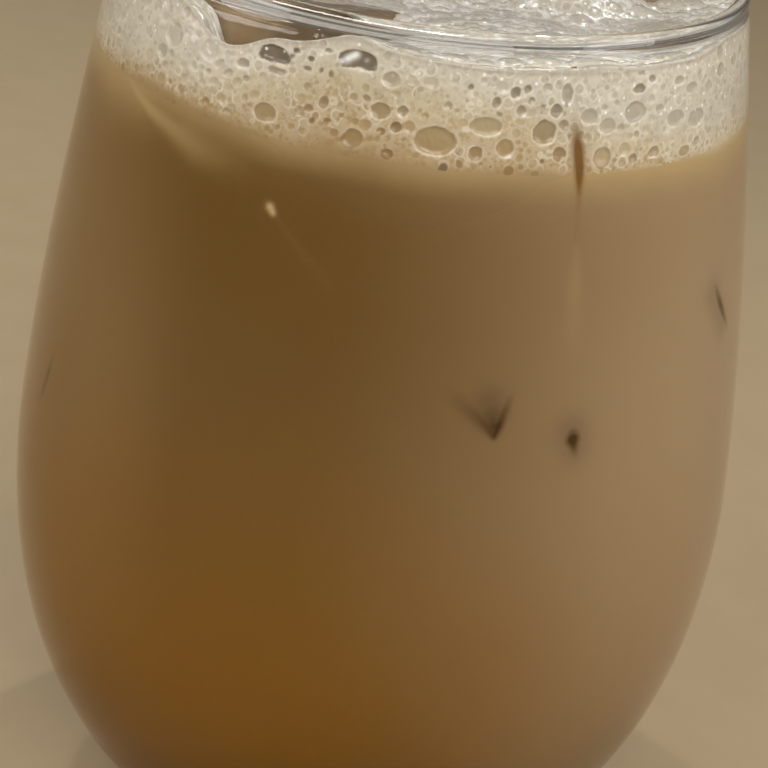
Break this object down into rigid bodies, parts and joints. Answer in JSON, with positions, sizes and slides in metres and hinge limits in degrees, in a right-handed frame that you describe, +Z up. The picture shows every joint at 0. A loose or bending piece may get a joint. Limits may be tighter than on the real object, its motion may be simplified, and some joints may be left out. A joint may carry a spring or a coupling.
{
  "type": "iced milk coffee in a glass",
  "caption": "Stemless clear glass with a rounded belly, filled close to the rim with iced milk coffee under a bubbly froth with ice.",
  "frame": {"origin": "centre of the underside of the glass's foot", "axes": "+Z up along the glass's axis; the picture looks from -Y, with +X to its right"},
  "size_m": [0.093, 0.093, 0.1186],
  "materials": {
    "glass": "clear, polished",
    "coffee": "milky brown liquid, opaque",
    "froth": "pale beige foam, wet",
    "ice": "wet ice tinted by coffee"
  },
  "bodies": {
    "root": {"glass": "glass", "coffee": "coffee", "froth": "froth", "ice_left": "ice", "ice_front": "ice", "ice_right": "ice"}
  },
  "joints": []
}
